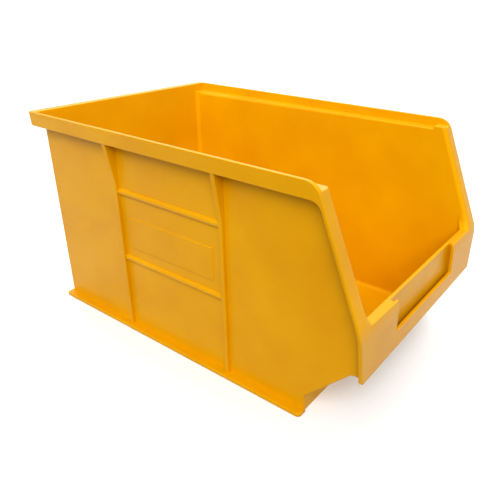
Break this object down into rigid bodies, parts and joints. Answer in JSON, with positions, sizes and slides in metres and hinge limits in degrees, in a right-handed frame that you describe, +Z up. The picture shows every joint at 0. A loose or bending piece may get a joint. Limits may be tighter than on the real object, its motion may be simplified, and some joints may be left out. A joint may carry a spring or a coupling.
{
  "type": "stackable storage bin",
  "caption": "Semi-open-front plastic storage bin with stacking ledges, base rails, a rear hanging lip and a front label window.",
  "frame": {"origin": "middle of the base on the surface the bin stands on, which is the bottom centre of the bounding box", "axes": "+X to the bin's right as seen from its open front, +Y from the front to the rear lip, +Z up"},
  "size_m": [0.15, 0.24, 0.131],
  "materials": {
    "yellow_polypropylene": "satin"
  },
  "bodies": {
    "root": {"floor_plate": "yellow_polypropylene", "base_rail_left": "yellow_polypropylene", "base_rail_right": "yellow_polypropylene", "side_wall_left": "yellow_polypropylene", "side_wall_right": "yellow_polypropylene", "rear_corner_left": "yellow_polypropylene", "rear_corner_right": "yellow_polypropylene", "back_wall": "yellow_polypropylene", "front_scoop": "yellow_polypropylene", "front_wall": "yellow_polypropylene", "stack_ledge_left": "yellow_polypropylene", "stack_ledge_right": "yellow_polypropylene", "rim_guard_left": "yellow_polypropylene", "rim_guard_right": "yellow_polypropylene", "stack_stop_left": "yellow_polypropylene", "stack_stop_right": "yellow_polypropylene", "rear_rim_wall": "yellow_polypropylene", "rear_rim_strip": "yellow_polypropylene", "rear_skirt": "yellow_polypropylene", "hanging_lip": "yellow_polypropylene", "mouth_flange_left": "yellow_polypropylene", "mouth_flange_right": "yellow_polypropylene", "front_cheek_left": "yellow_polypropylene", "front_cheek_right": "yellow_polypropylene", "cheek_return_left": "yellow_polypropylene", "cheek_return_right": "yellow_polypropylene", "card_guide_left": "yellow_polypropylene", "card_guide_right": "yellow_polypropylene", "label_sill": "yellow_polypropylene", "front_rib_left": "yellow_polypropylene", "front_rib_right": "yellow_polypropylene", "rear_rib_left": "yellow_polypropylene", "rear_rib_right": "yellow_polypropylene", "cross_ribs_left": "yellow_polypropylene", "cross_ribs_right": "yellow_polypropylene", "side_plaque_left": "yellow_polypropylene", "side_plaque_right": "yellow_polypropylene"}
  },
  "joints": []
}
